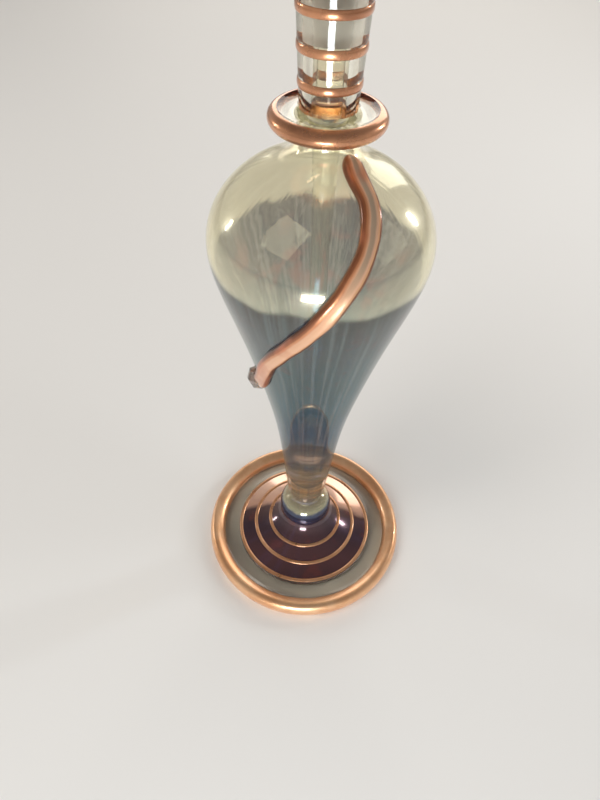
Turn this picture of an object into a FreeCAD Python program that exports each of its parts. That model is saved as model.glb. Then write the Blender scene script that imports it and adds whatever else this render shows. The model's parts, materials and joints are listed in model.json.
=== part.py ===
import FreeCAD, Part
import math
import os

# Hand-blown lustre-glass perfume bottle on a turned foot, with an applied glass trail that
# winds down its bulb and a ground stopper that carries a dip rod and a finial.
# Millimetres. +Z is up, the origin is the centre of the ring that the foot rests on, and -Y is
# the front. The pieces of one glass body meet face to face, as the gathers that it was made of.

V = FreeCAD.Vector
halvings = 50              # enough to place a point on a curve exactly

# ---------------------------------------------------------------- driving dimensions
# Foot
foot_radius = 30.0
rim_width = 4.4            # the rolled, copper-lustred edge
rim_height = 5.0
seat_inset = 1.6           # from the outer edge to the flat resting ring
seat_width = 1.6
hollow_depth = 0.8         # how far the dish's underside clears the floor at the rim
kick_up = 1.6              # how much higher the underside is at the centre
dish_edge_height = 3.4     # top of the dish where it meets the rim
dish_low_height = 2.9      # lowest ring of the dish
cone_radius = 20.6
cone_edge_height = 3.3
cone_top_radius = 6.4
cone_top_height = 12.0

# Raised threads on the foot: radius, half width and half height of each oval bead
thread_places = {"foot_thread_outer": 20.1, "foot_thread_middle": 15.3, "foot_thread_inner": 10.7}
thread_half_width = 0.55
thread_half_height = 0.4

# Knop between foot and bulb
knop_radius = 7.6
knop_height = 8.8
knop_widest = 0.52         # its widest ring, as a share of its height

# Bulb: an inverted drop on a short stem
stem_radius = 5.0
stem_solid_height = 7.7    # solid glass between the knop and the cavity
bulb_radius = 22.0
bulb_rise = 87.7           # from the foot of the stem up to the widest ring
dome_rise = 18.5           # from the widest ring up to the foot of the neck
throat_radius = 5.25       # outside of the neck below the collar
throat_height = 3.3
throat_bend = 0.3          # bow of the cavity's outline where it narrows to the bore
bulb_wall = 1.1
stem_wall = 1.9

# Neck and collar
bore_radius = 2.9
collar_radius = 10.1
collar_height = 3.0
collar_rim_width = 1.6     # the copper-lustred edge
collar_dip = 0.5           # how far the clear top of the collar is dished
neck_foot_radius = 4.87
neck_top_radius = 6.05
neck_height = 21.1
lip_radius = 6.9
lip_height = 2.6
lip_land = 0.8             # from the lip's outer edge in to its flat top
band_first = 4.1           # height of the lowest neck band above the collar
band_pitch = 5.2
band_count = 4
band_half_height = 0.7
band_thickness = 0.2

# Ground socket and stopper
socket_depth = 14.0        # ground length, measured down from the lip
socket_taper = 0.05        # radius gained per mm of height: a 1:10 taper on the diameter
fit_clearance = 0.03
lip_gap = 0.3              # between the lip and the stopper's flange when it is seated
flange_radius = 7.1
flange_height = 1.9
flange_edge = 0.9          # width of its rounded edge
waist_radius = 2.6
waist_flare = 1.2          # radius gained where the waist meets the flange and the finial
waist_height = 4.6
finial_radius = 8.2
finial_height = 20.0
finial_widest = 0.42       # its widest ring, as a share of its height
finial_neck_radius = 2.9
tip_height = 10.5
tip_ball_radius = 3.5
tip_point_radius = 0.3
finial_band_half_height = 0.8
finial_band_thickness = 0.3
rod_shoulder_radius = 2.15
rod_radius = 1.87
rod_taper_start = 19.0     # below the plug, where the thick shoulder starts to thin
rod_taper_end = 34.0
rod_length = 57.2
rod_point = 6.0            # length of the tapered tip
rod_tip_radius = 0.3

# Applied trail: azimuth in degrees from the front towards +X, and height as a share of the
# bulb's own height, from the foot of its stem (0) to the foot of its neck (1)
trail_path = [(43.0, 1.004), (36.0, 0.965), (30.0, 0.940), (22.0, 0.906), (11.5, 0.858), (-1.4, 0.787),
              (-16.5, 0.710), (-33.0, 0.630), (-46.5, 0.557), (-59.0, 0.520), (-70.0, 0.502),
              (-79.0, 0.491)]
trail_half_width = 1.7
trail_half_height = 1.4
trail_lift = 0.4           # height of the section's middle above the bulb
trail_pitch = 1.6          # spacing of the sections that the trail is lofted through
trail_tip_length = 2.8     # length of its rounded start
trail_bare_length = 6.5    # length of the bare, sheared end
tail_scales = [0.93, 1.25, 1.6, 1.7, 1.25]   # size of the bare end's sections, in order
tail_corners = 7
lustre_thickness = 0.12
lustre_bond = 0.04         # stand-off between the glass and its coat
lustre_wrap = 0.6          # radians that the coat reaches below the section's widest line

# ---------------------------------------------------------------- heights that follow
knop_base_z = cone_top_height
stem_base_z = knop_base_z + knop_height
widest_z = stem_base_z + bulb_rise
throat_z = widest_z + dome_rise
bore_base_z = throat_z + 0.2 * throat_height
collar_z = throat_z + throat_height
collar_top_z = collar_z + collar_height
neck_top_z = collar_top_z + neck_height
lip_top_z = neck_top_z + lip_height
socket_z = lip_top_z - socket_depth
plug_base_z = socket_z + fit_clearance
flange_z = lip_top_z + lip_gap
waist_z = flange_z + flange_height
finial_z = waist_z + waist_height
tip_z = finial_z + finial_height
rim_inner_radius = foot_radius - rim_width
collar_split_radius = collar_radius - collar_rim_width


# ---------------------------------------------------------------- helpers
def smooth(points, start=None, end=None):
    """Curve through (radius, height) points, with optional directions at its two ends."""
    curve = Part.BSplineCurve()
    if start is None:
        curve.interpolate(Points=[V(r, 0, z) for r, z in points])
    else:
        curve.interpolate(Points=[V(r, 0, z) for r, z in points],
                          InitialTangent=V(start[0], 0, start[1]),
                          FinalTangent=V(end[0], 0, end[1]))
    return curve


def paced(points, start, end):
    """Curve through (radius, height) points, parametrised by distance, so that unit directions at
    its ends don't make it overshoot."""
    places = [V(r, 0, z) for r, z in points]
    distances = [0.0]
    for before, after in zip(places, places[1:]):
        distances.append(distances[-1] + (after - before).Length)
    curve = Part.BSplineCurve()
    curve.interpolate(Points=places, Parameters=distances, Scale=False,
                      InitialTangent=V(start[0], 0, start[1]), FinalTangent=V(end[0], 0, end[1]))
    return curve


def line(*points):
    """Straight edges through (radius, height) points."""
    corners = [V(r, 0, z) for r, z in points]
    return [Part.LineSegment(a, b).toShape() for a, b in zip(corners, corners[1:])]


def turned(edges):
    """Solid of revolution about Z from a closed outline of edges in the XZ plane."""
    face = Part.Face(Part.Wire(Part.__sortEdges__(edges)))
    solid = face.revolve(V(0, 0, 0), V(0, 0, 1), 360)
    return solid if solid.Volume > 0 else solid.reversed()


def oval_ring(radius, height, half_width, half_height):
    """Ring with an oval section centred on (radius, height)."""
    middle = V(radius, 0, height)
    across, up = V(half_width, 0, 0), V(0, 0, half_height)
    if half_width > half_height:
        oval = Part.Ellipse(middle + across, middle + up, middle)
    else:
        oval = Part.Ellipse(middle + up, middle + across, middle)
    return turned([oval.toShape()])


def rounded_edge(inner, outer, low, high):
    """Half-oval edge from (inner, low) round to (inner, high), reaching out to outer."""
    middle = V(inner, 0, (low + high) / 2)
    across, up = V(outer - inner, 0, 0), V(0, 0, (high - low) / 2)
    if across.Length > up.Length:
        oval = Part.Ellipse(middle + across, middle + up, middle)
        return Part.ArcOfEllipse(oval, -math.pi / 2, math.pi / 2).toShape()
    oval = Part.Ellipse(middle + up, middle - across, middle)
    return Part.ArcOfEllipse(oval, math.pi, 2 * math.pi).toShape()


def parameter_at(curve, height):
    """Parameter where a curve that only rises passes a height."""
    return parameter_where(curve, lambda point: point.z < height)


def parameter_where(curve, before):
    """Parameter where before(point) turns from true to false along a curve."""
    low, high = curve.FirstParameter, curve.LastParameter
    for _ in range(halvings):
        middle = (low + high) / 2
        if before(curve.value(middle)):
            low = middle
        else:
            high = middle
    return (low + high) / 2


def outward(curve, parameter):
    """Unit normal of a rising profile, pointing away from the axis."""
    along = curve.tangent(parameter)[0]
    if along.z < 0:
        along = -along
    return V(along.z, 0, -along.x)


# ---------------------------------------------------------------- foot
def underside(radius):
    """Height of the hollow underside at a radius."""
    return hollow_depth + kick_up * (1 - (radius / rim_inner_radius) ** 2)


def cone_profile():
    """Top of the foot's cone, from its edge up to the knop."""
    run = cone_radius - cone_top_radius
    rise = cone_top_height - cone_edge_height
    shares = [(0.0, 0.0), (0.37, 0.22), (0.70, 0.49), (0.89, 0.73), (1.0, 1.0)]
    return smooth([(cone_radius - run * a, cone_edge_height + rise * b) for a, b in shares])


def foot_rim():
    seat_outer = foot_radius - seat_inset
    seat_inner = seat_outer - seat_width
    edge = rounded_edge(seat_outer, foot_radius, 0, rim_height)
    shoulder = smooth([(seat_outer, rim_height), (rim_inner_radius + 0.2 * rim_width, rim_height * 0.87),
                       (rim_inner_radius, dish_edge_height)], (-1, 0), (-0.35, -1))
    base = line((rim_inner_radius, dish_edge_height), (rim_inner_radius, hollow_depth),
                (seat_inner, 0), (seat_outer, 0))
    return turned([edge, shoulder.toShape()] + base)


def foot_dish():
    middle = (rim_inner_radius + cone_radius) / 2
    top = smooth([(rim_inner_radius, dish_edge_height), (middle, dish_low_height),
                  (cone_radius, cone_edge_height)])
    base = line((cone_radius, cone_edge_height), (cone_radius, underside(cone_radius)),
                (rim_inner_radius, hollow_depth), (rim_inner_radius, dish_edge_height))
    return turned([top.toShape()] + base)


def foot_cone():
    hollow = Part.Arc(V(cone_radius, 0, underside(cone_radius)),
                      V(cone_radius / 2, 0, underside(cone_radius / 2)),
                      V(0, 0, underside(0))).toShape()
    sides = line((cone_top_radius, cone_top_height), (0, cone_top_height), (0, underside(0)))
    outer = line((cone_radius, underside(cone_radius)), (cone_radius, cone_edge_height))
    return turned([cone_profile().toShape(), hollow] + sides + outer)


def foot_thread(radius, cone, dish):
    """Raised bead that lies on the cone at a radius."""
    profile = cone_profile()
    height = profile.value(parameter_where(profile, lambda point: point.x > radius)).z
    return oval_ring(radius, height, thread_half_width, thread_half_height).cut(cone).cut(dish)


def stem_knop():
    side = smooth([(cone_top_radius, knop_base_z), (knop_radius * 0.9, knop_base_z + 0.12 * knop_height),
                   (knop_radius, knop_base_z + knop_widest * knop_height),
                   (stem_radius * 1.2, knop_base_z + 0.91 * knop_height),
                   (stem_radius, stem_base_z)])
    ends = line((stem_radius, stem_base_z), (0, stem_base_z), (0, knop_base_z),
                (cone_top_radius, knop_base_z))
    return turned([side.toShape()] + ends)


# ---------------------------------------------------------------- bulb
def bulb_profile():
    """Outer outline of the bulb, from the foot of its stem to the top of its throat."""
    gain = bulb_radius - stem_radius
    flare = [(0.0, 0.0), (0.08, 0.042), (0.18, 0.097), (0.30, 0.163), (0.41, 0.245),
             (0.52, 0.363), (0.63, 0.503), (0.745, 0.664), (0.83, 0.795), (0.91, 0.917), (0.96, 0.978)]
    points = [(stem_radius + gain * b, stem_base_z + bulb_rise * a) for a, b in flare]
    for degrees in (0, 19, 38, 54):
        turn = math.radians(degrees)
        points.append((bulb_radius * math.cos(turn), widest_z + dome_rise * 0.935 * math.sin(turn)))
    points.append((throat_radius + 3.6, widest_z + 0.855 * dome_rise))
    points.append((throat_radius, throat_z + 0.25 * throat_height))
    points.append((throat_radius, collar_z))
    return smooth(points, (0.06, 1), (0, 1))


def cavity_edges(outer):
    """Inner outline of the bulb: a wall's thickness inside the outer one, then in to the bore."""
    floor_z = stem_base_z + stem_solid_height
    points = [(0, floor_z)]
    for share in (0.045, 0.16, 0.35, 0.55, 0.75, 0.92, 1.0):
        height = floor_z + (widest_z - floor_z) * share
        where = parameter_at(outer, height)
        wall = bulb_wall + (stem_wall - bulb_wall) * (1 - share) ** 2
        inside = outer.value(where) - outward(outer, where) * wall
        points.append((inside.x * (0.72 if share < 0.1 else 1), inside.z))
    for share in (0.3, 0.56, 0.76, 0.87):
        where = parameter_at(outer, widest_z + dome_rise * share)
        normal = outward(outer, where)
        inside = outer.value(where) - normal * bulb_wall
        points.append((inside.x, inside.z))
    side = paced(points, (1, 0), (-normal.z, normal.x)).toShape()
    bore = V(bore_radius, 0, bore_base_z)
    bend = (inside + bore) / 2 - V(throat_bend, 0, throat_bend)
    return [side, Part.Arc(inside, bend, bore).toShape()]


def bulb_envelope(outer):
    """The bulb without its cavity, for trimming what is laid on it."""
    ends = line((throat_radius, collar_z), (0, collar_z), (0, stem_base_z),
                (stem_radius, stem_base_z))
    return turned([outer.toShape()] + ends)


def bulb(outer):
    ends = line((throat_radius, collar_z), (bore_radius, collar_z), (bore_radius, bore_base_z))
    axis = line((0, stem_base_z + stem_solid_height), (0, stem_base_z), (stem_radius, stem_base_z))
    return turned([outer.toShape()] + cavity_edges(outer) + ends + axis)


# ---------------------------------------------------------------- neck and collar
def neck_collar():
    middle = (collar_split_radius + neck_foot_radius) / 2
    top = smooth([(collar_split_radius, collar_top_z), (middle, collar_top_z - collar_dip),
                  (neck_foot_radius, collar_top_z)])
    sides = line((neck_foot_radius, collar_top_z), (bore_radius, collar_top_z),
                 (bore_radius, collar_z), (collar_split_radius, collar_z),
                 (collar_split_radius, collar_top_z))
    return turned([top.toShape()] + sides)


def collar_rim():
    edge = rounded_edge(collar_split_radius, collar_radius, collar_z, collar_top_z)
    return turned([edge] + line((collar_split_radius, collar_top_z), (collar_split_radius, collar_z)))


def neck_radius_at(height):
    share = (height - collar_top_z) / neck_height
    return neck_foot_radius + (neck_top_radius - neck_foot_radius) * share


def socket_radius_at(height):
    return bore_radius + socket_taper * (height - socket_z)


def neck_tube():
    return turned(line((neck_foot_radius, collar_top_z), (neck_top_radius, neck_top_z),
                       (socket_radius_at(neck_top_z), neck_top_z), (bore_radius, socket_z),
                       (bore_radius, collar_top_z), (neck_foot_radius, collar_top_z)))


def neck_lip():
    land = lip_radius - lip_land
    roll = smooth([(neck_top_radius, neck_top_z), (lip_radius, neck_top_z + 0.55 * lip_height),
                   (land, lip_top_z)], (1, 0.4), (-1, 0.1))
    inside = line((land, lip_top_z), (socket_radius_at(lip_top_z), lip_top_z),
                  (socket_radius_at(neck_top_z), neck_top_z), (neck_top_radius, neck_top_z))
    return turned([roll.toShape()] + inside)


def neck_band(number, tube):
    """Fired-on copper band; number counts up from the collar."""
    height = collar_top_z + band_first + band_pitch * (number - 1)
    ring = oval_ring(neck_radius_at(height), height, band_thickness, band_half_height)
    return ring.cut(tube)


# ---------------------------------------------------------------- applied trail
def trail_frame(outer, azimuth, share):
    """Point on the bulb and its outward normal, at an azimuth and a share of the bulb's height."""
    where = parameter_at(outer, stem_base_z + share * (throat_z - stem_base_z))
    turn = FreeCAD.Rotation(V(0, 0, 1), azimuth - 90)
    return turn.multVec(outer.value(where)), turn.multVec(outward(outer, where))


class Trail:
    """The trail's course over the bulb, measured by the distance along it."""

    samples = 300

    def __init__(self, outer):
        self.outer = outer
        self.course = Part.BSplineCurve()
        self.course.interpolate(Points=[V(azimuth / 100, share, 0) for azimuth, share in trail_path])
        self.span = self.course.LastParameter - self.course.FirstParameter
        self.distances = [0.0]
        for n in range(self.samples):
            step = (self.place((n + 1) / self.samples)[0] - self.place(n / self.samples)[0]).Length
            self.distances.append(self.distances[-1] + step)
        self.length = self.distances[-1]

    def place(self, share):
        spot = self.course.value(self.course.FirstParameter + share * self.span)
        return trail_frame(self.outer, spot.x * 100, spot.y)

    def frame(self, distance):
        """Point, direction across and direction outward, at a distance from the start."""
        n = max(i for i in range(self.samples) if self.distances[i] <= distance)
        part = (distance - self.distances[n]) / (self.distances[n + 1] - self.distances[n])
        share = (n + min(part, 1)) / self.samples
        reach = 0.5 / self.samples
        point, normal = self.place(share)
        direction = self.place(min(1, share + reach))[0] - self.place(max(0, share - reach))[0]
        across = direction.normalize().cross(normal).normalize()
        return point, across, across.cross(direction).normalize()


def trail_stops(end):
    """Distances of the sections, closer together over the rounded start."""
    tip = [trail_tip_length * share for share in (0, 0.07, 0.2, 0.4, 0.68)]
    count = math.ceil((end - trail_tip_length) / trail_pitch)
    return tip + [trail_tip_length + (end - trail_tip_length) * n / count for n in range(count + 1)]


def trail_size(distance):
    """The trail starts at a rounded point and keeps its section from there on."""
    if distance >= trail_tip_length:
        return 1.0
    return 0.3 + 0.7 * math.sqrt(1 - (1 - distance / trail_tip_length) ** 2)


def trail_oval(frame, size, growth):
    """Oval across the trail's course, grown by a coat's thickness."""
    point, across, up = frame
    middle = point + up * trail_lift * size
    return Part.Ellipse(middle + across * (trail_half_width * size + growth),
                        middle + up * (trail_half_height * size + growth), middle)


def glass_section(frame, size):
    """Oval of the bare glass, split where the coat's edges lie."""
    start, end = -lustre_wrap, math.pi + lustre_wrap
    oval = trail_oval(frame, size, 0)
    return Part.Wire([Part.ArcOfEllipse(oval, start, end).toShape(),
                      Part.ArcOfEllipse(oval, end, start + 2 * math.pi).toShape()])


def coat_section(frame, size):
    """Crescent between the bare glass and the face of its lustre coat."""
    start, end = -lustre_wrap, math.pi + lustre_wrap
    inner = Part.ArcOfEllipse(trail_oval(frame, size, lustre_bond), start, end)
    outer = Part.ArcOfEllipse(trail_oval(frame, size, lustre_bond + lustre_thickness), start, end)
    joins = [Part.LineSegment(inner.StartPoint, outer.StartPoint),
             Part.LineSegment(outer.EndPoint, inner.EndPoint)]
    return Part.Wire([joins[0].toShape(), outer.toShape(), joins[1].toShape(), inner.toShape()])


def tail_section(frame, size):
    """Many-sided section of the bare sheared end."""
    point, across, up = frame
    middle = point + up * trail_lift
    ring = []
    for number in range(tail_corners):
        turn = 2 * math.pi * (number + 0.5) / tail_corners
        ring.append(middle + across * (trail_half_width * size * math.cos(turn))
                    + up * (trail_half_height * size * math.sin(turn)))
    return Part.makePolygon(ring + ring[:1])


def trail_pieces(outer):
    """The glass trail, its lustre coat and its bare sheared end, trimmed to the bulb."""
    envelope = bulb_envelope(outer)
    trail = Trail(outer)
    coated_length = trail.length - trail_bare_length
    stops = trail_stops(coated_length)
    sections = [(trail.frame(distance), trail_size(distance)) for distance in stops]
    core = Part.makeLoft([glass_section(frame, size) for frame, size in sections], True)
    coat = Part.makeLoft([coat_section(frame, size) for frame, size in sections], True)
    last = len(tail_scales) - 1
    tail = Part.makeLoft([tail_section(trail.frame(coated_length + trail_bare_length * n / last), size)
                          for n, size in enumerate(tail_scales)], True, True)
    coat = coat.cut(envelope)
    return {"spiral_trail": core.cut(envelope).cut(coat), "trail_lustre": coat,
            "trail_end": tail.cut(envelope)}


# ---------------------------------------------------------------- stopper
def plug_radius_at(height):
    return socket_radius_at(height) - fit_clearance


def stopper_plug():
    return turned(line((0, plug_base_z), (plug_radius_at(plug_base_z), plug_base_z),
                       (plug_radius_at(flange_z), flange_z), (0, flange_z), (0, plug_base_z)))


def dip_rod():
    tip_z = plug_base_z - rod_length
    shaft = line((0, plug_base_z), (rod_shoulder_radius, plug_base_z),
                 (rod_shoulder_radius, plug_base_z - rod_taper_start),
                 (rod_radius, plug_base_z - rod_taper_end), (rod_radius, tip_z + rod_point))
    point = smooth([(rod_radius, tip_z + rod_point), (rod_radius * 0.76, tip_z + rod_point * 0.42),
                    (rod_tip_radius, tip_z)], (0, -1), (-1, -0.8))
    return turned(shaft + [point.toShape()] + line((rod_tip_radius, tip_z), (0, tip_z), (0, plug_base_z)))


def stopper_flange():
    inner = flange_radius - flange_edge
    edge = rounded_edge(inner, flange_radius, flange_z, waist_z)
    return turned([edge] + line((inner, waist_z), (0, waist_z), (0, flange_z), (inner, flange_z)))


def stopper_waist():
    foot = waist_radius + waist_flare
    side = smooth([(foot, waist_z), (waist_radius, waist_z + waist_height / 2), (foot, finial_z)])
    return turned([side.toShape()] + line((foot, finial_z), (0, finial_z), (0, waist_z), (foot, waist_z)))


def finial_bulb():
    foot = waist_radius + waist_flare
    side = smooth([(foot, finial_z), (finial_radius * 0.93, finial_z + 0.22 * finial_height),
                   (finial_radius, finial_z + finial_widest * finial_height),
                   (finial_radius * 0.68, finial_z + 0.77 * finial_height),
                   (finial_neck_radius, tip_z)])
    return turned([side.toShape()] + line((finial_neck_radius, tip_z), (0, tip_z), (0, finial_z),
                                          (foot, finial_z)))


def finial_band(bulb_solid):
    height = finial_z + finial_widest * finial_height
    ring = oval_ring(finial_radius, height, finial_band_thickness, finial_band_half_height)
    return ring.cut(bulb_solid)


def finial_tip():
    side = smooth([(finial_neck_radius, tip_z), (tip_ball_radius, tip_z + 0.3 * tip_height),
                   (tip_ball_radius * 0.55, tip_z + 0.68 * tip_height),
                   (tip_point_radius, tip_z + tip_height)])
    ends = line((tip_point_radius, tip_z + tip_height), (0, tip_z + tip_height), (0, tip_z),
                (finial_neck_radius, tip_z))
    return turned([side.toShape()] + ends)


# ---------------------------------------------------------------- assembly
outer_line = bulb_profile()
cone_solid, dish_solid, tube_solid, knob_solid = foot_cone(), foot_dish(), neck_tube(), finial_bulb()

pieces = {"foot_rim": foot_rim(), "foot_dish": dish_solid, "foot_cone": cone_solid}
for name, radius in thread_places.items():
    pieces[name] = foot_thread(radius, cone_solid, dish_solid)
pieces.update({"stem_knop": stem_knop(), "bulb": bulb(outer_line)})
pieces.update(trail_pieces(outer_line))
pieces.update({"neck_collar": neck_collar(), "collar_rim": collar_rim(), "neck_tube": tube_solid,
               "neck_lip": neck_lip()})
for number in range(1, band_count + 1):
    pieces[f"neck_band_{number}"] = neck_band(number, tube_solid)
pieces.update({"stopper_plug": stopper_plug(), "dip_rod": dip_rod(),
               "stopper_flange": stopper_flange(), "stopper_waist": stopper_waist(),
               "finial_bulb": knob_solid, "finial_band": finial_band(knob_solid),
               "finial_tip": finial_tip()})

os.makedirs("parts", exist_ok=True)
for name, shape in pieces.items():
    shape.exportStep(f"parts/{name}.step")
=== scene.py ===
import json
import math

import bpy
import numpy as np
from mathutils import Matrix, Vector


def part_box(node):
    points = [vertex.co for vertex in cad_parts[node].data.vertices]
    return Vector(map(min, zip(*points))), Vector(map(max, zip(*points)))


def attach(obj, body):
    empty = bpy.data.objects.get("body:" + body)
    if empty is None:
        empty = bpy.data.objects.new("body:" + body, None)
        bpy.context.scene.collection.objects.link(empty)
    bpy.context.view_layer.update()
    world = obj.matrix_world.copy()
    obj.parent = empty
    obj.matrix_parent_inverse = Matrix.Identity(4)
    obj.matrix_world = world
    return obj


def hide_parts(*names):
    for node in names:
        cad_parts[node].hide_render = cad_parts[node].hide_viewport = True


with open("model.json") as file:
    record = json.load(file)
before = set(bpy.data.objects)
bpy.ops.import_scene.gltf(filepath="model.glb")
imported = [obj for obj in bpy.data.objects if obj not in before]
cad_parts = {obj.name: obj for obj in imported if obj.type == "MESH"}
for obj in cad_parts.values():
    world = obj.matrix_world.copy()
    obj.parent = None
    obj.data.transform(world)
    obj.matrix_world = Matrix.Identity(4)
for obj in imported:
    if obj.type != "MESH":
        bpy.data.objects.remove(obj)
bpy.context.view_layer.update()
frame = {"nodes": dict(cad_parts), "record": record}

# Looks of the lustre-glass perfume bottle. Every turned piece is made again as a fine lathe mesh
# from the outline of its own CAD solid, so its size and place are the frame's. The trail is swept
# along its course on the bulb's outline, and its sheared end is the CAD solid itself.

MM = 0.001
TURN_STEPS = 160                 # facets round a lathe mesh
OUTLINE_STEP = 0.5 * MM          # longest straight run along an outline
CORNER_ANGLE = math.radians(24)  # a sharper turn than this stays an edge
NEAR = 0.01 * MM                 # closer than this counts as touching
SEAM_REACH = 0.002 * MM          # a vertex this close to azimuth 0 lies on the seam
SAME_SPOT = 0.001 * MM           # vertices closer than this are one point of an outline
WALL_REACH = 0.3 * MM            # a strip this close to the bulb's outside belongs to it
SOCKET_SHARE = 0.6               # of the neck's radius: everything nearer the axis is its socket

NODE_BODY = {node: body for body, nodes in frame["record"]["behaviour"]["bodies"].items()
             for node in nodes}
NODE_BOX = {node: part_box(node) for node in frame["nodes"]}


def low(node):
    return NODE_BOX[node][0].z


def high(node):
    return NODE_BOX[node][1].z


def radius(node):
    return NODE_BOX[node][1].x


# ---------------------------------------------------------------- outlines read from the frame
def seam_chains(node):
    """Runs of (radius, height) points where a turned node's mesh crosses azimuth 0, and whether
    they are one closed run."""
    mesh = frame["nodes"][node].data
    spots = np.empty(len(mesh.vertices) * 3)
    mesh.vertices.foreach_get("co", spots)
    spots = spots.reshape(-1, 3)
    on_seam = (np.abs(spots[:, 1]) < SEAM_REACH) & (spots[:, 0] > -SEAM_REACH)
    ends = np.empty(len(mesh.edges) * 2, dtype=int)
    mesh.edges.foreach_get("vertices", ends)
    ends = ends.reshape(-1, 2)
    keys = {index: tuple(int(v) for v in np.rint(spots[index, ::2] / SAME_SPOT))
            for index in np.flatnonzero(on_seam)}
    places = {keys[index]: (max(spots[index, 0], 0.0), spots[index, 2]) for index in keys}
    links = {}
    for a, b in ends[on_seam[ends].all(axis=1)]:
        if keys[a] != keys[b]:
            links.setdefault(keys[a], set()).add(keys[b])
            links.setdefault(keys[b], set()).add(keys[a])
    chains = []
    closed = False
    left = set(links)
    while left:
        tips = sorted(key for key in left if len(links[key]) == 1)
        closed = not tips
        chain = [tips[0] if tips else min(left)]
        left.discard(chain[0])
        while ahead := sorted(key for key in links[chain[-1]] if key in left):
            chain.append(ahead[0])
            left.discard(ahead[0])
        chains.append([places[key] for key in chain])
    return chains, closed


def outline(node):
    """Outline of a turned node, and whether it closes without touching the axis. Flat faces have
    no seam, so loose ends are joined across a flat ring or run to the axis."""
    chains, closed = seam_chains(node)
    loop = chains.pop(0)
    while chains:
        _, number, end, tip = min((math.dist(loop[end], chain[tip]), number, end, tip)
                                  for number, chain in enumerate(chains)
                                  for end in (0, -1) for tip in (0, -1))
        chain = chains.pop(number)
        if end == 0:
            loop.reverse()
        loop += chain if tip == 0 else chain[::-1]
    first, last = loop[0], loop[-1]
    closed = closed or (abs(first[1] - last[1]) < NEAR and min(first[0], last[0]) > NEAR)
    if not closed:
        if first[0] > NEAR:
            loop.insert(0, (0.0, first[1]))
        if last[0] > NEAR:
            loop.append((0.0, last[1]))
    area = sum(a[0] * b[1] - b[0] * a[1] for a, b in zip(loop, loop[1:] + loop[:1]))
    return (loop if area > 0 else loop[::-1]), closed


def split_flats(loop, closed, cuts):
    """Adds a point where a flat ring or disc crosses each of the radii in cuts."""
    made = []
    for a, b in zip(loop, loop[1:] + (loop[:1] if closed else [])):
        made.append(a)
        if abs(a[1] - b[1]) < NEAR:
            inside = [c for c in cuts if min(a[0], b[0]) + NEAR < c < max(a[0], b[0]) - NEAR]
            made += [(c, a[1]) for c in sorted(inside, reverse=bool(a[0] > b[0]))]
    return made if closed else made + [loop[-1]]


def spline_run(points):
    """Points along the smooth curve through a run of points, at most OUTLINE_STEP apart."""
    run = np.array(points)
    gaps = np.linalg.norm(np.diff(run, axis=0), axis=1)
    if len(run) == 2:
        steps = max(1, math.ceil(gaps[0] / OUTLINE_STEP))
        return [tuple(run[0] + (run[1] - run[0]) * n / steps) for n in range(steps)]
    count = len(run)
    system = np.zeros((count, count))
    right = np.zeros((count, 2))
    slopes = np.diff(run, axis=0) / gaps[:, None]
    for n in range(1, count - 1):
        system[n, n - 1:n + 2] = gaps[n - 1], 2 * (gaps[n - 1] + gaps[n]), gaps[n]
        right[n] = 6 * (slopes[n] - slopes[n - 1])
    # the curvature runs on unchanged into the first and last stretch
    system[0, :2] = 1, -1
    system[-1, -2:] = -1, 1
    bends = np.linalg.solve(system, right)
    made = []
    for n, gap in enumerate(gaps):
        steps = max(1, math.ceil(gap / OUTLINE_STEP))
        for step in range(steps):
            b = step / steps
            a = 1 - b
            spot = (a * run[n] + b * run[n + 1]
                    + ((a ** 3 - a) * bends[n] + (b ** 3 - b) * bends[n + 1]) * gap ** 2 / 6)
            made.append(tuple(spot))
    return made


def refined(loop, closed):
    """The outline with its smooth runs divided finely. Corners stay corners."""
    points = [Vector(spot) for spot in loop]
    count = len(points)

    def corner(n):
        before, after = points[n] - points[n - 1], points[(n + 1) % count] - points[n]
        return before.angle(after) > CORNER_ANGLE

    if closed:
        corners = [n for n in range(count) if corner(n)]
        if not corners:
            # a smooth ring is run with some overlap, then cut at both passes of its first point
            ring = spline_run(points[-4:] + points + points[:5])
            half = len(ring) // 2
            first, last = (min(part, key=lambda n: (Vector(ring[n]) - points[0]).length)
                           for part in (range(half + 1), range(half + 1, len(ring))))
            return ring[first:last]
        points = points[corners[0]:] + points[:corners[0]] + [points[corners[0]]]
        corners = [n - corners[0] for n in corners] + [count]
    else:
        corners = [0] + [n for n in range(1, count - 1) if corner(n)] + [count - 1]
    made = []
    for start, end in zip(corners, corners[1:]):
        made += spline_run(points[start:end + 1])
    return made if closed else made + [tuple(points[-1])]


def stand_in(name, node, mesh, materials):
    """Puts a mesh in the scene in place of a CAD node, on that node's body."""
    piece = bpy.data.objects.new(name, mesh)
    bpy.context.scene.collection.objects.link(piece)
    for material in materials:
        mesh.materials.append(material)
    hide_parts(node)
    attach(piece, NODE_BODY[node])


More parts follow.
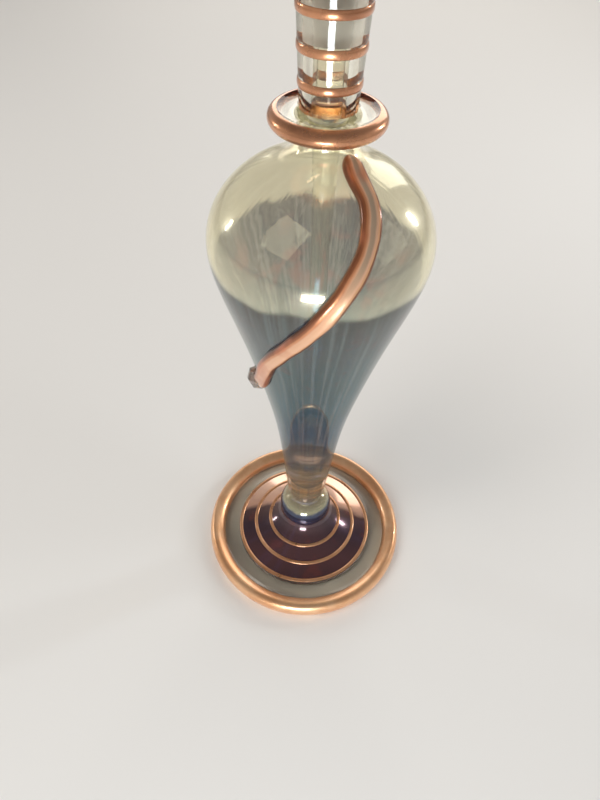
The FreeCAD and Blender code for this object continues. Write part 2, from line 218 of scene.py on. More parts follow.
def lathe(name, node, materials, zone=None, cuts=()):
    """Closed mesh turned about Z from a CAD node's outline. zone(a, b) gives the material's place
    in the list for the strip between two outline points."""
    loop, closed = outline(node)
    points = [(0.0, z) if r < NEAR else (r, z)
              for r, z in refined(split_flats(loop, closed, cuts), closed)]
    turns = 2 * np.pi * np.arange(TURN_STEPS) / TURN_STEPS
    spots, rings = [], []
    made = 0
    for r, z in points:
        width = 1 if r == 0 else TURN_STEPS
        rings.append(made + np.arange(width))
        made += width
        spots.append(np.column_stack([r * np.cos(turns[:width]), r * np.sin(turns[:width]),
                                      np.full(width, z)]))
    quads, triangles, places = [], [], []
    for n in range(len(rings) if closed else len(rings) - 1):
        a, b = rings[n], rings[(n + 1) % len(rings)]
        place = zone(points[n], points[(n + 1) % len(points)]) if zone else 0
        if len(a) == 1 and len(b) == 1:
            continue
        if len(a) == 1:
            triangles.append((np.column_stack([np.repeat(a, TURN_STEPS), np.roll(b, -1), b]), place))
        elif len(b) == 1:
            triangles.append((np.column_stack([a, np.roll(a, -1), np.repeat(b, TURN_STEPS)]), place))
        else:
            quads.append((np.column_stack([a, np.roll(a, -1), np.roll(b, -1), b]), place))
    mesh = bpy.data.meshes.new(name)
    faces = [face for strip, _ in quads + triangles for face in strip.tolist()]
    mesh.from_pydata(np.vstack(spots).tolist(), [], faces)
    mesh.polygons.foreach_set("material_index", [place for strip, place in quads + triangles
                                                 for _ in strip])
    mesh.polygons.foreach_set("use_smooth", [True] * len(faces))
    mesh.update()
    mesh.set_sharp_from_angle(angle=CORNER_ANGLE)
    stand_in(name, node, mesh, materials)


# ---------------------------------------------------------------- node helpers
BLACK = (0, 0, 0)
WHITE = (1, 1, 1)


def set_stops(ramp, stops):
    """Gives a colour ramp its (place, colour) stops."""
    while len(ramp.elements) < len(stops):
        ramp.elements.new(1.0)
    for element, (place, colour) in zip(ramp.elements, stops):
        element.position = place
        element.color = (*colour, 1)


class Shade:
    """Short calls that build one material's node tree."""

    def __init__(self, name):
        self.material = bpy.data.materials.new(name)
        self.material.use_nodes = True
        self.tree = self.material.node_tree
        self.tree.nodes.clear()
        self.out = self.tree.nodes.new("ShaderNodeOutputMaterial")
        self.place = self.tree.nodes.new("ShaderNodeTexCoord").outputs["Object"]

    def node(self, kind, **inputs):
        made = self.tree.nodes.new(kind)
        for key, value in inputs.items():
            self.feed(made.inputs[key.replace("_", " ")], value)
        return made

    def feed(self, socket, value):
        if isinstance(value, bpy.types.NodeSocket):
            self.tree.links.new(value, socket)
        else:
            socket.default_value = value

    def maths(self, operation, a, b):
        made = self.tree.nodes.new("ShaderNodeMath")
        made.operation = operation
        self.feed(made.inputs[0], a)
        self.feed(made.inputs[1], b)
        return made.outputs[0]

    def scaled(self, vector, scale):
        made = self.tree.nodes.new("ShaderNodeMapping")
        made.inputs["Scale"].default_value = scale
        self.feed(made.inputs["Vector"], vector)
        return made.outputs[0]

    def around(self, turn_scale, rise_scale):
        """Coordinates wrapped on a cylinder: even round the axis, whatever the radius."""
        parts = self.node("ShaderNodeSeparateXYZ", Vector=self.place)
        level = self.node("ShaderNodeCombineXYZ", X=parts.outputs[0], Y=parts.outputs[1])
        unit = self.tree.nodes.new("ShaderNodeVectorMath")
        unit.operation = "NORMALIZE"
        self.feed(unit.inputs[0], level.outputs[0])
        ends = self.node("ShaderNodeSeparateXYZ", Vector=unit.outputs[0])
        made = self.node("ShaderNodeCombineXYZ",
                         X=self.maths("MULTIPLY", ends.outputs[0], turn_scale),
                         Y=self.maths("MULTIPLY", ends.outputs[1], turn_scale),
                         Z=self.maths("MULTIPLY", parts.outputs[2], rise_scale))
        return made.outputs[0]

    def height(self, start, end):
        """0 at one height, 1 at another."""
        parts = self.node("ShaderNodeSeparateXYZ", Vector=self.place)
        made = self.node("ShaderNodeMapRange", Value=parts.outputs[2], From_Min=start, From_Max=end)
        return made.outputs[0]

    def noise(self, vector, scale, detail=3.0, roughness=0.5, distortion=0.0):
        made = self.node("ShaderNodeTexNoise", Vector=vector, Scale=scale, Detail=detail,
                         Roughness=roughness, Distortion=distortion)
        return made.outputs["Fac"]

    def fade(self, value, start, end):
        """Black up to one value, white from another."""
        return self.ramp(value, [(start, BLACK), (end, WHITE)])

    def ramp(self, value, stops):
        made = self.node("ShaderNodeValToRGB", Fac=value)
        made.color_ramp.interpolation = "EASE"
        set_stops(made.color_ramp, stops)
        return made.outputs["Color"]

    def blend(self, factor, a, b, kind="MIX"):
        made = self.tree.nodes.new("ShaderNodeMix")
        made.data_type = "RGBA"
        made.blend_type = kind
        self.feed(made.inputs[0], factor)
        self.feed(made.inputs[6], (*a, 1) if isinstance(a, tuple) else a)
        self.feed(made.inputs[7], (*b, 1) if isinstance(b, tuple) else b)
        return made.outputs[2]

    def bump(self, value, strength, distance):
        made = self.node("ShaderNodeBump", Height=value, Strength=strength, Distance=distance)
        return made.outputs[0]

    def mix(self, factor, a, b):
        made = self.tree.nodes.new("ShaderNodeMixShader")
        self.feed(made.inputs[0], factor)
        self.feed(made.inputs[1], a)
        self.feed(made.inputs[2], b)
        return made.outputs[0]

    def wander(self, value, cloud, reach):
        """The value moved up and down by a noise, by half the reach at most."""
        return self.maths("ADD", value, self.maths("MULTIPLY", self.maths("SUBTRACT", cloud, 0.5), reach))

    def lamps_through(self, shader, tint):
        """Lets lamp light pass the glass, tinted, instead of throwing a black shadow."""
        rays = self.tree.nodes.new("ShaderNodeLightPath")
        clear = self.node("ShaderNodeBsdfTransparent", Color=tint)
        return self.mix(rays.outputs["Is Shadow Ray"], shader, clear.outputs[0])

    def finish(self, shader):
        self.feed(self.out.inputs["Surface"], shader)
        return self.material


# ---------------------------------------------------------------- materials
def clear_glass(name, tint_a, tint_b, wave=0.12, edge=(1.0, 1.0, 1.0)):
    """Hand-worked clear glass: faint tint that drifts, painted shade that darkens it towards the edge
    colour where the glass is seen edge on, and a slight wave in its surface."""
    m = Shade(name)
    drift = m.noise(m.place, 60, 2)
    normal = m.bump(m.noise(m.place, 170, 1), wave, 0.4 * MM)
    facing = m.node("ShaderNodeLayerWeight", Blend=0.55).outputs["Facing"]
    colour = m.blend(drift, tint_a, tint_b)
    # painted shade: where the glass is seen edge on, its colour is multiplied by the edge colour into a
    # dark outline
    colour = m.blend(m.fade(facing, 0.45, 0.9), colour, m.blend(1.0, colour, edge, "MULTIPLY"))
    glass = m.node("ShaderNodeBsdfPrincipled", Base_Color=colour, Roughness=0.015, IOR=1.5,
                   Transmission_Weight=1.0, Normal=normal)
    return m.finish(m.lamps_through(glass.outputs[0], colour))


def weld_face():
    """Where two gathers of glass are fused, light passes straight on."""
    m = Shade("weld")
    colour = m.blend(m.noise(m.place, 40, 1), (1.0, 1.0, 1.0), (0.985, 0.985, 0.98))
    clear = m.node("ShaderNodeBsdfTransparent", Color=colour)
    return m.finish(clear.outputs[0])


def bulb_film():
    """Outside of the bulb: clear cream glass above a wandering line, and below it a smoky lustre
    that runs in long streaks from lavender through teal to blue, clearing to amber at the stem."""
    m = Shade("bulb_film")
    streaks = m.noise(m.around(5.0, 9), 1.5, 4, 0.6, 0.4)
    fine = m.noise(m.around(16.0, 14), 1.4, 3, 0.55)
    rise = m.height(low("bulb"), high("bulb"))
    place = m.wander(rise, m.noise(m.around(1.1, 0), 1.3, 1), 0.06)
    run = m.wander(place, streaks, 0.16)
    smoke = m.ramp(run, [(0.0, (0.84, 0.68, 0.42)), (0.15, (0.76, 0.58, 0.40)),
                         (0.21, (0.20, 0.26, 0.32)), (0.32, (0.008, 0.055, 0.14)),
                         (0.46, (0.014, 0.075, 0.13)), (0.58, (0.028, 0.065, 0.09)),
                         (0.68, (0.040, 0.044, 0.060)), (0.80, (0.050, 0.040, 0.052))])
    smoke = m.blend(m.fade(fine, 0.46, 0.62), smoke, m.blend(0.5, smoke, (0.22, 0.22, 0.24)))
    dusk = m.maths("MULTIPLY", m.fade(streaks, 0.50, 0.66), 0.8)
    smoke = m.blend(dusk, smoke, m.blend(1.0, smoke, (0.16, 0.30, 0.52), "MULTIPLY"))
    belt = m.ramp(run, [(0.52, BLACK), (0.60, WHITE), (0.70, WHITE), (0.76, BLACK)])
    blush = m.maths("MULTIPLY", m.fade(m.noise(m.place, 150, 3, 0.6), 0.52, 0.64), belt)
    smoke = m.blend(m.maths("MULTIPLY", blush, 0.75), smoke, (0.16, 0.045, 0.05))
    above = m.fade(place, 0.772, 0.786)
    tint = m.blend(above, smoke, (0.98, 0.90, 0.66))
    lustre = m.ramp(run, [(0.0, (0.55, 0.42, 0.22)), (0.15, (0.48, 0.33, 0.2)),
                          (0.21, (0.12, 0.15, 0.18)), (0.32, (0.010, 0.065, 0.14)),
                          (0.46, (0.018, 0.09, 0.13)), (0.58, (0.040, 0.09, 0.11)),
                          (0.70, (0.085, 0.09, 0.115)), (0.80, (0.12, 0.105, 0.115))])
    lustre = m.blend(m.fade(fine, 0.47, 0.62), lustre, m.blend(0.6, lustre, (0.24, 0.29, 0.30)))
    film_colour = m.blend(above, lustre, (0.88, 0.83, 0.60))
    normal = m.bump(m.noise(m.around(9.0, 4), 1.2, 2), 0.08, 0.5 * MM)
    glass = m.node("ShaderNodeBsdfPrincipled", Base_Color=tint, Roughness=0.012, IOR=1.5,
                   Transmission_Weight=1.0, Thin_Film_Thickness=300.0, Thin_Film_IOR=1.65,
                   Normal=normal)
    veil = m.node("ShaderNodeBsdfPrincipled", Base_Color=film_colour, Roughness=0.22,
                  Metallic=0.35, Coat_Weight=0.6, Coat_Roughness=0.03, Normal=normal)
    facing = m.node("ShaderNodeLayerWeight", Blend=0.30, Normal=normal).outputs["Facing"]
    share = m.maths("ADD", m.maths("MULTIPLY", facing, 0.55), m.maths("MULTIPLY", streaks, 0.30))
    shoulder = m.ramp(rise, [(0.90, BLACK), (0.96, (0.35, 0.35, 0.35))])
    share = m.maths("MAXIMUM", share, shoulder)
    both = m.mix(share, glass.outputs[0], veil.outputs[0])
    return m.finish(m.lamps_through(both, tint))


def copper_lustre(name, bright, dark, polish=0.22):
    """Fired copper lustre: metal-bright, unevenly burnished, with fine streaks round the turning."""
    m = Shade(name)
    cloud = m.noise(m.place, 130, 4, 0.6)
    streak = m.noise(m.scaled(m.place, (40, 40, 900)), 1.0, 3)
    colour = m.blend(m.fade(cloud, 0.32, 0.68), dark, bright)
    colour = m.blend(m.maths("MULTIPLY", streak, 0.25), colour, (0.97, 0.62, 0.36))
    rough = m.node("ShaderNodeMapRange", Value=cloud, To_Min=polish, To_Max=polish + 0.14)
    normal = m.bump(m.noise(m.place, 420, 3), 0.12, 0.3 * MM)
    metal = m.node("ShaderNodeBsdfPrincipled", Base_Color=colour, Roughness=rough.outputs[0], Metallic=0.8,
                   Coat_Weight=0.7, Coat_Roughness=0.04, Normal=normal)
    return m.finish(metal.outputs[0])


def strap_lustre():
    """Lustre on the trail: peach face, flanks darkened to red-brown and near black by painted
    shade, and bare grey glass showing through the middle of its upper stretch."""
    m = Shade("strap_lustre")
    across = m.node("ShaderNodeAttribute")
    across.attribute_name = "across"
    along = m.node("ShaderNodeAttribute")
    along.attribute_name = "along"
    cloud = m.noise(m.place, 210, 4, 0.6)
    wavy = m.wander(across.outputs["Fac"], cloud, 0.14)
    # painted shade across the strap: near black at one flank and dark red-brown at the other, where its
    # side walls are in shadow; the peach between is the lustre's own colour
    colour = m.ramp(wavy, [(0.0, (0.10, 0.03, 0.015)), (0.13, (0.24, 0.08, 0.035)),
                           (0.20, (0.80, 0.42, 0.22)), (0.30, (0.86, 0.50, 0.31)),
                           (0.62, (0.84, 0.47, 0.28)), (0.78, (0.62, 0.25, 0.11)),
                           (0.88, (0.30, 0.10, 0.04)), (1.0, (0.16, 0.05, 0.02))])
    upper = m.ramp(along.outputs["Fac"], [(0.0, WHITE), (0.26, (0.8, 0.8, 0.8)), (0.42, BLACK)])
    middle = m.ramp(wavy, [(0.30, BLACK), (0.42, WHITE), (0.56, WHITE), (0.68, BLACK)])
    worn = m.maths("MULTIPLY", upper, middle)
    colour = m.blend(m.maths("MULTIPLY", worn, 0.8), colour, (0.34, 0.30, 0.22))
    ember = m.fade(m.noise(m.place, 120, 2), 0.55, 0.7)
    colour = m.blend(m.maths("MULTIPLY", ember, 0.55), colour, (0.62, 0.19, 0.09))
    normal = m.bump(m.noise(m.place, 520, 3), 0.12, 0.3 * MM)
    face = m.node("ShaderNodeBsdfPrincipled", Base_Color=colour, Roughness=0.33, Metallic=0.55,
                  Coat_Weight=0.6, Coat_Roughness=0.05, Normal=normal)
    return m.finish(face.outputs[0])


def violet_lustre():
    """Cone of the foot: violet-brown lustre, with painted reflection from front to back: dark in front,
    peach at the back.
    """
    m = Shade("violet_lustre")
    cloud = m.noise(m.place, 95, 4, 0.6)
    spokes = m.noise(m.around(6.0, 30), 1.4, 2)
    # painted reflection: the colour follows front to back, dark violet-brown in front as if reflecting
    # dark surroundings, peach behind as if reflecting bright ones
    parts = m.node("ShaderNodeSeparateXYZ", Vector=m.place)
    reflection_front_to_back = m.node("ShaderNodeMapRange", Value=parts.outputs[1], From_Min=-radius("foot_cone"),
                   From_Max=radius("foot_cone"))
    place = m.wander(reflection_front_to_back.outputs[0], cloud, 0.10)
    colour = m.ramp(place, [(0.0, (0.10, 0.045, 0.045)), (0.18, (0.13, 0.055, 0.055)),
                            (0.42, (0.07, 0.035, 0.045)), (0.56, (0.12, 0.055, 0.05)),
                            (0.62, (0.78, 0.44, 0.30)), (0.80, (0.95, 0.60, 0.43)),
                            (1.0, (0.93, 0.52, 0.33))])
    rays = m.ramp(spokes, [(0.50, BLACK), (0.80, (0.5, 0.5, 0.5))])
    colour = m.blend(rays, colour, m.blend(0.5, colour, (0.16, 0.10, 0.20)))
    ember = m.fade(m.noise(m.place, 160, 3), 0.60, 0.70)
    colour = m.blend(m.maths("MULTIPLY", ember, 0.35), colour, (0.26, 0.06, 0.04))
    normal = m.bump(cloud, 0.06, 0.3 * MM)
    metal = m.node("ShaderNodeBsdfPrincipled", Base_Color=colour, Roughness=0.16, Metallic=0.6,
                   Coat_Weight=1.0, Coat_Roughness=0.02, Normal=normal)
    return m.finish(metal.outputs[0])


def knop_film():
    """Knop: clear at its shoulder, dark blue below it: partly its blue lustre, partly painted reflection,
    a light top and a dark underside.
    """
    m = Shade("knop_film")
    cloud = m.noise(m.around(2.0, 60), 1.5, 3)
    place = m.wander(m.height(low("stem_knop"), high("stem_knop")), cloud, 0.16)
    # by height, in tint and veil alike: dark blue below, light cream on top; partly lustre colour, partly
    # painted reflection of dark surroundings below and bright ones above
    tint = m.ramp(place, [(0.0, (0.06, 0.08, 0.17)), (0.45, (0.08, 0.11, 0.24)),
                          (0.72, (0.16, 0.20, 0.34)), (0.82, (0.90, 0.86, 0.64)),
                          (1.0, (0.88, 0.80, 0.58))])
    film = m.ramp(place, [(0.0, (0.03, 0.03, 0.07)), (0.4, (0.03, 0.05, 0.14)),
                          (0.72, (0.07, 0.10, 0.2)), (0.82, (0.76, 0.72, 0.46)),
                          (1.0, (0.70, 0.62, 0.40))])
    normal = m.bump(cloud, 0.06, 0.4 * MM)
    glass = m.node("ShaderNodeBsdfPrincipled", Base_Color=tint, Roughness=0.012, IOR=1.5,
                   Transmission_Weight=1.0, Normal=normal)
    veil = m.node("ShaderNodeBsdfPrincipled", Base_Color=film, Roughness=0.15, Metallic=0.5,
                  Coat_Weight=1.0, Coat_Roughness=0.02, Normal=normal)
    return m.finish(m.lamps_through(m.mix(0.45, glass.outputs[0], veil.outputs[0]), tint))


def sheared_glass():
    """Bare broken end of the trail: smoky clear glass with flecks of the lustre."""
    m = Shade("sheared_glass")
    fleck = m.fade(m.noise(m.place, 330, 3), 0.52, 0.62)
    colour = m.blend(m.noise(m.place, 200, 2), (0.42, 0.36, 0.30), (0.62, 0.58, 0.48))
    normal = m.bump(m.noise(m.place, 260, 2), 0.3, 0.5 * MM)
    glass = m.node("ShaderNodeBsdfPrincipled", Base_Color=colour, Roughness=0.03, IOR=1.5,
                   Transmission_Weight=1.0, Normal=normal)
    metal = m.node("ShaderNodeBsdfPrincipled", Base_Color=(0.20, 0.08, 0.04, 1), Roughness=0.2,
                   Metallic=0.6, Coat_Weight=0.8, Coat_Roughness=0.03, Normal=normal)
    both = m.mix(m.maths("MULTIPLY", fleck, 0.8), glass.outputs[0], metal.outputs[0])
    return m.finish(m.lamps_through(both, colour))


def ground_glass():
    """Ground socket and plug: grey, translucent and matt."""
    m = Shade("ground_glass")
    grain = m.noise(m.place, 2500, 2)
    cloud = m.noise(m.place, 160, 3)
    colour = m.blend(cloud, (0.56, 0.53, 0.49), (0.44, 0.42, 0.40))
    glass = m.node("ShaderNodeBsdfPrincipled", Base_Color=colour, Roughness=0.55, IOR=1.5,
                   Transmission_Weight=0.55, Normal=m.bump(grain, 0.3, 0.05 * MM))
    return m.finish(m.lamps_through(glass.outputs[0], colour))


CLEAR = clear_glass("clear_glass", (0.985, 0.985, 0.955), (0.96, 0.97, 0.93))
# the cream glass's edge colour is painted shade: it darkens the glass where seen edge on
CREAM = clear_glass("cream_glass", (0.96, 0.93, 0.82), (0.93, 0.91, 0.80), edge=(0.5, 0.5, 0.45))
INSIDE = clear_glass("inside_glass", (0.99, 0.99, 0.985), (0.97, 0.98, 0.98), wave=0.05)
WELD = weld_face()
FILM = bulb_film()
COPPER = copper_lustre("copper_lustre", (0.84, 0.44, 0.23), (0.62, 0.26, 0.11))
RED_COPPER = copper_lustre("red_copper_lustre", (0.68, 0.29, 0.14), (0.40, 0.14, 0.06), 0.20)
PALE_COPPER = copper_lustre("pale_copper_lustre", (0.95, 0.56, 0.31), (0.84, 0.40, 0.18), 0.28)
STRAP = strap_lustre()
VIOLET = violet_lustre()
GROUND = ground_glass()
KNOP = knop_film()
SHEARED = sheared_glass()
DISH = clear_glass("dish_glass", (0.50, 0.485, 0.45), (0.78, 0.76, 0.70), wave=0.25)
# the rod glass's edge colour is strong painted shade: a dark outline where the rod is seen edge on
ROD = clear_glass("rod_glass", (0.97, 0.95, 0.86), (0.94, 0.93, 0.84), wave=0.05, edge=(0.25, 0.25, 0.20))


# ---------------------------------------------------------------- turned pieces
def flat(a, b):
    return abs(a[1] - b[1]) < NEAR


def at_height(a, b, height):
    return flat(a, b) and abs(a[1] - height) < NEAR


def upright(a, b, place):
    return abs(a[0] - place) < NEAR and abs(b[0] - place) < NEAR


def build_foot():
    lathe("foot_rim_copper", "foot_rim", [PALE_COPPER])
    inner, outer = radius("foot_cone"), radius("foot_dish")
    lathe("foot_dish_glass", "foot_dish", [DISH, WELD],
          lambda a, b: 1 if upright(a, b, inner) or upright(a, b, outer) else 0)
    lathe("foot_cone_lustre", "foot_cone", [VIOLET])
    for where in ("outer", "middle", "inner"):
        lathe(f"foot_thread_{where}_copper", f"foot_thread_{where}", [COPPER])


def widest_at(node, height):
    """Radius of a turned node's flat end at a height."""
    return max(r for r, z in outline(node)[0] if abs(z - height) < NEAR)


def bulb_outside():
    """Radii and heights up the bulb's outside, from its stem to its throat."""
    line = outline("bulb")[0]
    throat = widest_at("bulb", high("bulb"))
    start = next(n for n, (r, z) in enumerate(line) if abs(z - low("bulb")) < NEAR and r > NEAR)
    end = next(n for n, (r, z) in enumerate(line)
               if abs(z - high("bulb")) < NEAR and r > throat - NEAR)
    return zip(*refined(line[start:end + 1], False))


def build_body():
    lathe("stem_knop_glass", "stem_knop", [KNOP, WELD], lambda a, b: 1 if flat(a, b) else 0)
    radii, heights = bulb_outside()

    def bulb_zone(a, b):
        if at_height(a, b, high("bulb")) or at_height(a, b, low("bulb")):
            return 1
        r, z = (a[0] + b[0]) / 2, (a[1] + b[1]) / 2
        return 0 if abs(r - np.interp(z, heights, radii)) < WALL_REACH else 2

    lathe("bulb_glass", "bulb", [FILM, WELD, INSIDE], bulb_zone)


def build_neck():
    neck_foot = widest_at("neck_tube", low("neck_tube"))
    throat = widest_at("bulb", high("bulb"))
    socket_low = low("stopper_plug")

    def collar_zone(a, b):
        inner = max(a[0], b[0])
        fused = (at_height(a, b, low("neck_collar")) and inner < throat + NEAR
                 or at_height(a, b, high("neck_collar")) and inner < neck_foot + NEAR)
        return 1 if fused or upright(a, b, radius("neck_collar")) else 0

    def socket_zone(a, b):
        if flat(a, b):
            return 1
        inside = max(a[0], b[0]) < SOCKET_SHARE * radius("neck_tube")
        return 2 if inside and max(a[1], b[1]) > socket_low + NEAR else 0

    lathe("neck_collar_glass", "neck_collar", [CREAM, WELD], collar_zone, cuts=(throat, neck_foot))
    lathe("collar_rim_copper", "collar_rim", [RED_COPPER])
    lathe("neck_tube_glass", "neck_tube", [CREAM, WELD, GROUND], socket_zone)
    lathe("neck_lip_glass", "neck_lip", [CLEAR, WELD],
          lambda a, b: 1 if at_height(a, b, low("neck_lip")) else 0)
    for band in sorted(node for node in frame["nodes"] if node.startswith("neck_band_")):
        lathe(f"{band}_copper", band, [RED_COPPER])


def build_stopper():
    rod = radius("dip_rod")
    plug_low = low("stopper_plug")

    def plug_zone(a, b):
        return 1 if at_height(a, b, plug_low) and max(a[0], b[0]) < rod + NEAR else 0

    lathe("stopper_plug_ground", "stopper_plug", [GROUND, WELD], plug_zone, cuts=(rod,))
    lathe("dip_rod_glass", "dip_rod", [ROD, WELD],
          lambda a, b: 1 if at_height(a, b, plug_low) else 0)
    lathe("stopper_flange_copper", "stopper_flange", [COPPER])
    lathe("stopper_waist_glass", "stopper_waist", [CLEAR, WELD],
          lambda a, b: 1 if at_height(a, b, high("stopper_waist")) else 0)
    lathe("finial_bulb_glass", "finial_bulb", [FILM, WELD], lambda a, b: 1 if flat(a, b) else 0)
    lathe("finial_band_copper", "finial_band", [COPPER])
    lathe("finial_tip_glass", "finial_tip", [CLEAR, WELD],
          lambda a, b: 1 if at_height(a, b, low("finial_tip")) else 0)


# Course of the trail over the bulb: azimuth in degrees from the front towards +X, and height as a
# share of the way from the foot of the bulb's stem to the foot of its throat.
TRAIL_PATH = [(43.0, 1.004), (36.0, 0.965), (30.0, 0.940), (22.0, 0.906), (11.5, 0.858),
              (-1.4, 0.787), (-16.5, 0.710), (-33.0, 0.630), (-46.5, 0.557), (-59.0, 0.520),
              (-70.0, 0.502), (-79.0, 0.491)]
DEGREE_RUN = 1 * MM              # what a degree counts for when the course is smoothed
RISE_RUN = 50 * MM               # what the whole rise counts for
THROAT_HEIGHT = 3.3 * MM         # of the throat, above the course's rise
TRAIL_HALF_WIDTH = 1.75 * MM
SIDE_ROUNDNESS = 0.75            # exponents of the section's oval: 1 is an ellipse, less is boxier
FACE_ROUNDNESS = 0.85
TRAIL_TOP = 1.5 * MM             # crest of its face above the bulb
TRAIL_FOOT = 0.5 * MM            # how far its glass sinks into the bulb's wall
TRAIL_HOLLOW = 0.22 * MM         # dip along the middle of its face
TRAIL_COAT = 0.10 * MM
TRAIL_BOND = 0.02 * MM           # gap between the glass and its coat
TRAIL_WRAP = 0.35                # radians that the coat reaches below the strap's widest line
TRAIL_CROWD = 0.75               # how much closer the steps are at its start
TRAIL_LUMP = 0.07                # how uneven its width is
TRAIL_WAVES = 31, 17             # radians that the two waves of that unevenness run through
TRAIL_TIP = 0.02                 # square of the size that its rounded start begins at
HOLLOW_SPREAD = 0.55             # half width of the hollow, as a share of the strap's
TRAIL_BEND = math.radians(50)    # a sharper turn than this stays an edge
TRAIL_EASE = 1.5 * MM            # how far apart the bulb's slope is read, to ease its bends
TRAIL_ROUND = 2.6 * MM           # length of its rounded start
TRAIL_BARE = 6.5 * MM            # length of the bare end
TRAIL_SHY = 1.2 * MM             # how much sooner the coat stops than the glass under it
TRAIL_STEPS = 260
SECTION_STEPS = 40


def trail_frames(bare):
    """Points along the trail's course on the bulb, up to its bare end, with the directions
    across and outward, the distance run and its share of the whole."""
    radii, heights = bulb_outside()
    rise = high("bulb") - THROAT_HEIGHT - low("bulb")
    spots = []
    for azimuth, share in spline_run([(a * DEGREE_RUN, b * RISE_RUN) for a, b in TRAIL_PATH]):
        z = low("bulb") + share / RISE_RUN * rise
        r = float(np.interp(z, heights, radii))
        slope = (np.interp(z + TRAIL_EASE, heights, radii)
                 - np.interp(z - TRAIL_EASE, heights, radii)) / (2 * TRAIL_EASE)
        turn = math.radians(azimuth / DEGREE_RUN)
        flat_out = Vector((math.sin(turn), -math.cos(turn), 0))
        normal = (flat_out - Vector((0, 0, slope))).normalized()
        spots.append((flat_out * r + Vector((0, 0, z)), normal))
    gaps = [(b[0] - a[0]).length for a, b in zip(spots, spots[1:])]
    runs = np.concatenate([[0], np.cumsum(gaps)])
    length = runs[-1] - bare
    frames = []
    for step in range(TRAIL_STEPS + 1):
        # steps crowd together over the rounded start
        share = step / TRAIL_STEPS
        distance = length * (share + TRAIL_CROWD * share ** 2) / (1 + TRAIL_CROWD)
        at = np.interp(distance, runs, range(len(runs)))
        n = min(int(at), len(spots) - 2)
        point = spots[n][0].lerp(spots[n + 1][0], at - n)
        normal = spots[n][1].lerp(spots[n + 1][1], at - n).normalized()
        ahead = (spots[min(n + 3, len(spots) - 1)][0] - spots[max(n - 2, 0)][0]).normalized()
        across = ahead.cross(normal).normalized()
        frames.append((point, across, across.cross(ahead).normalized(), distance, distance / length))
    return frames


def strap_point(turn, grown):
    """Section of the strap as (across, up): a flattened oval with a shallow hollow in its face."""
    across = math.copysign(abs(math.cos(turn)) ** SIDE_ROUNDNESS, math.cos(turn))
    up = math.copysign(abs(math.sin(turn)) ** FACE_ROUNDNESS, math.sin(turn))
    middle = (TRAIL_TOP - TRAIL_FOOT) / 2
    half = (TRAIL_TOP + TRAIL_FOOT) / 2
    rise = middle + (half + grown) * up
    if up > 0:
        rise -= TRAIL_HOLLOW * math.exp(-(across / HOLLOW_SPREAD) ** 2) * up
    return (TRAIL_HALF_WIDTH + grown) * across, rise


def sweep(name, node, section, material, bare):
    """Closed mesh of a section carried along the trail, with its place across and along."""
    frames = trail_frames(bare)
    spots, across_values, along_values = [], [], []
    for point, across, up, distance, share in frames:
        short = max(0.0, 1 - distance / TRAIL_ROUND)
        size = math.sqrt(max(TRAIL_TIP, 1 - short ** 2))
        lump = TRAIL_LUMP * math.prod(math.sin(share * wave) for wave in TRAIL_WAVES)
        for a, u in section:
            spots.append(point + across * a * size * (1 + lump) + up * u * (size if u > 0 else 1))
            across_values.append(0.5 + a / (2 * TRAIL_HALF_WIDTH + 2 * TRAIL_COAT))
            along_values.append(share)
    width = len(section)
    faces = []
    for n in range(len(frames) - 1):
        for k in range(width):
            k2 = (k + 1) % width
            faces.append((n * width + k, n * width + k2,
                          (n + 1) * width + k2, (n + 1) * width + k))
    faces.append(tuple(range(width))[::-1])
    faces.append(tuple(range((len(frames) - 1) * width, len(frames) * width)))
    mesh = bpy.data.meshes.new(name)
    mesh.from_pydata(spots, [], faces)
    mesh.polygons.foreach_set("use_smooth", [True] * len(faces))
    mesh.attributes.new("across", "FLOAT", "POINT").data.foreach_set("value", across_values)
    mesh.attributes.new("along", "FLOAT", "POINT").data.foreach_set("value", along_values)
    mesh.update()
    mesh.set_sharp_from_angle(angle=TRAIL_BEND)
    stand_in(name, node, mesh, [material])


def build_trail():
    turns = [2 * math.pi * n / SECTION_STEPS for n in range(SECTION_STEPS)]
    glass = [strap_point(turn, 0) for turn in turns]
    sweep("trail_glass", "spiral_trail", glass, CLEAR, TRAIL_BARE)
    first, last = -TRAIL_WRAP, math.pi + TRAIL_WRAP
    bow = [first + (last - first) * n / SECTION_STEPS for n in range(SECTION_STEPS + 1)]
    shell = ([strap_point(turn, TRAIL_COAT) for turn in bow]
             + [strap_point(turn, TRAIL_BOND) for turn in reversed(bow)])
    sweep("trail_lustre_coat", "trail_lustre", shell, STRAP, TRAIL_BARE + TRAIL_SHY)
    paint("trail_end", SHEARED)


def paint(node, material):
    """Gives a carried-over CAD node its material."""
    piece = frame["nodes"][node]
    piece.data.materials.clear()
    piece.data.materials.append(material)


# ---------------------------------------------------------------- stage, light and camera
FLOOR_HALF = 2.5
WORLD_STRENGTH = 0.55
WORLD_STOPS = [(0.0, (0.80, 0.77, 0.72)), (0.25, (0.74, 0.72, 0.68)), (0.6, (0.30, 0.30, 0.31)),
               (1.0, (0.16, 0.16, 0.18))]
LAMP_AIM = (0, 0, 0.08)
SIDE_AIM = (0, 0, 0.11)
CAMERA_PLACE = (0, -0.10056, 0.17359)
CAMERA_LENS = 35.96              # millimetres, on a sensor 36 mm wide
CAMERA_PITCH, CAMERA_TURN, CAMERA_ROLL = (math.radians(angle) for angle in (47.97, -1.61, 2.17))


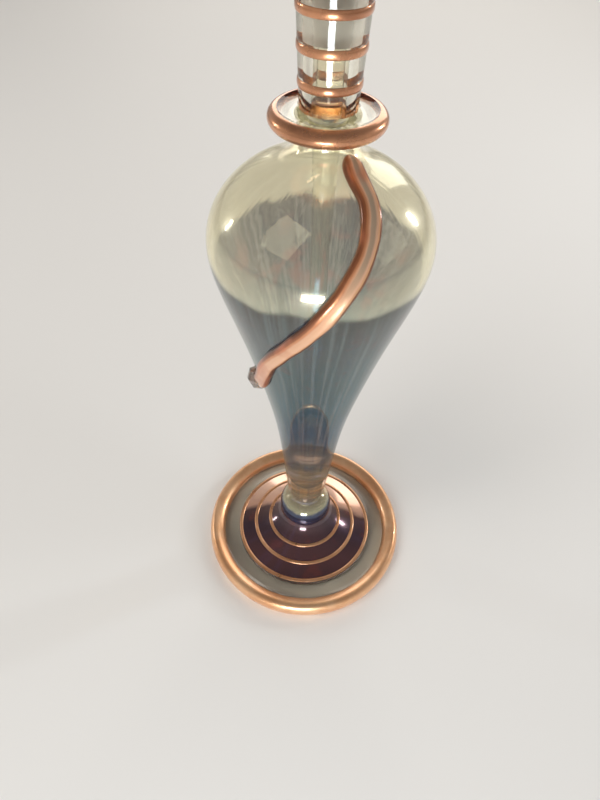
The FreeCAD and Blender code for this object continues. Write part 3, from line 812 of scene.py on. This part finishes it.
def build_stage():
    m = Shade("floor")
    colour = m.blend(m.noise(m.place, 3, 3), (0.80, 0.78, 0.745), (0.77, 0.75, 0.72))
    shader = m.node("ShaderNodeBsdfPrincipled", Base_Color=colour, Roughness=0.6)
    material = m.finish(shader.outputs[0])
    mesh = bpy.data.meshes.new("floor")
    corners = [(FLOOR_HALF * x, FLOOR_HALF * y, 0) for x, y in ((-1, -1), (1, -1), (1, 1), (-1, 1))]
    mesh.from_pydata(corners, [], [(0, 1, 2, 3)])
    floor = bpy.data.objects.new("floor", mesh)
    bpy.context.scene.collection.objects.link(floor)
    mesh.materials.append(material)


def softbox(name, place, target, width, height, power, colour, mirrored=True):
    """Rectangular studio lamp. One that isn't mirrored lights the glass but leaves no square
    reflection in it."""
    data = bpy.data.lights.new(name, "AREA")
    data.shape = "RECTANGLE"
    data.size, data.size_y = width, height
    data.energy = power
    data.color = colour
    lamp = bpy.data.objects.new(name, data)
    bpy.context.scene.collection.objects.link(lamp)
    lamp.location = place
    lamp.rotation_euler = (Vector(target) - Vector(place)).to_track_quat("-Z", "Y").to_euler()
    lamp.visible_glossy = mirrored


def build_light():
    """Pale surroundings that darken overhead, soft lamps, and small panes for the highlights."""
    world = bpy.data.worlds.new("studio")
    bpy.context.scene.world = world
    world.use_nodes = True
    tree = world.node_tree
    tree.nodes.clear()
    out = tree.nodes.new("ShaderNodeOutputWorld")
    back = tree.nodes.new("ShaderNodeBackground")
    place = tree.nodes.new("ShaderNodeTexCoord")
    parts = tree.nodes.new("ShaderNodeSeparateXYZ")
    ramp = tree.nodes.new("ShaderNodeValToRGB")
    tree.links.new(place.outputs["Generated"], parts.inputs[0])
    tree.links.new(parts.outputs[2], ramp.inputs[0])
    tree.links.new(ramp.outputs[0], back.inputs[0])
    tree.links.new(back.outputs[0], out.inputs[0])
    set_stops(ramp.color_ramp, WORLD_STOPS)
    back.inputs[1].default_value = WORLD_STRENGTH
    softbox("key", (-0.45, -0.35, 0.75), LAMP_AIM, 0.5, 0.6, 4.2, (1.0, 0.97, 0.93), mirrored=False)
    softbox("fill", (0.7, -0.1, 0.5), LAMP_AIM, 0.5, 0.5, 1.8, (0.93, 0.96, 1.0), mirrored=False)
    softbox("back", (0.1, 0.8, 0.45), LAMP_AIM, 0.9, 0.5, 3.0, (1.0, 0.96, 0.90))
    softbox("front_pane", (-0.015, -0.27, 0.036), LAMP_AIM, 0.10, 0.055, 0.42, (0.88, 0.95, 1.0))
    softbox("side_pane", (0.45, 0.23, 0.25), SIDE_AIM, 0.03, 0.10, 0.5, (0.96, 0.98, 1.0))
    softbox("left_pane", (-0.50, 0.16, 0.20), SIDE_AIM, 0.02, 0.10, 0.25, (1.0, 0.98, 0.95))


def build_camera():
    """Looks down on the bottle from in front and above, close to it."""
    data = bpy.data.cameras.new("camera")
    data.sensor_fit = "HORIZONTAL"
    data.sensor_width = 36.0
    data.lens = CAMERA_LENS
    data.clip_start = 0.005
    camera = bpy.data.objects.new("camera", data)
    bpy.context.scene.collection.objects.link(camera)
    forward = Vector((math.sin(CAMERA_TURN), math.cos(CAMERA_TURN), 0))
    ahead = forward * math.cos(CAMERA_PITCH) - Vector((0, 0, math.sin(CAMERA_PITCH)))
    level = Vector((math.cos(CAMERA_TURN), -math.sin(CAMERA_TURN), 0))
    above = level.cross(ahead)
    right = level * math.cos(CAMERA_ROLL) + above * math.sin(CAMERA_ROLL)
    up = above * math.cos(CAMERA_ROLL) - level * math.sin(CAMERA_ROLL)
    turned = Matrix((right, up, -ahead)).transposed().to_4x4()
    camera.matrix_world = Matrix.Translation(CAMERA_PLACE) @ turned
    bpy.context.scene.camera = camera


def build_render():
    scene = bpy.context.scene
    scene.view_settings.view_transform = "Standard"
    scene.cycles.max_bounces = 24
    scene.cycles.transmission_bounces = 20
    scene.cycles.transparent_max_bounces = 24
    scene.cycles.glossy_bounces = 8
    scene.cycles.blur_glossy = 0.4
    scene.cycles.sample_clamp_indirect = 6.0


build_camera()
build_foot()
build_body()
build_neck()
build_stopper()
build_trail()
build_stage()
build_light()
build_render()
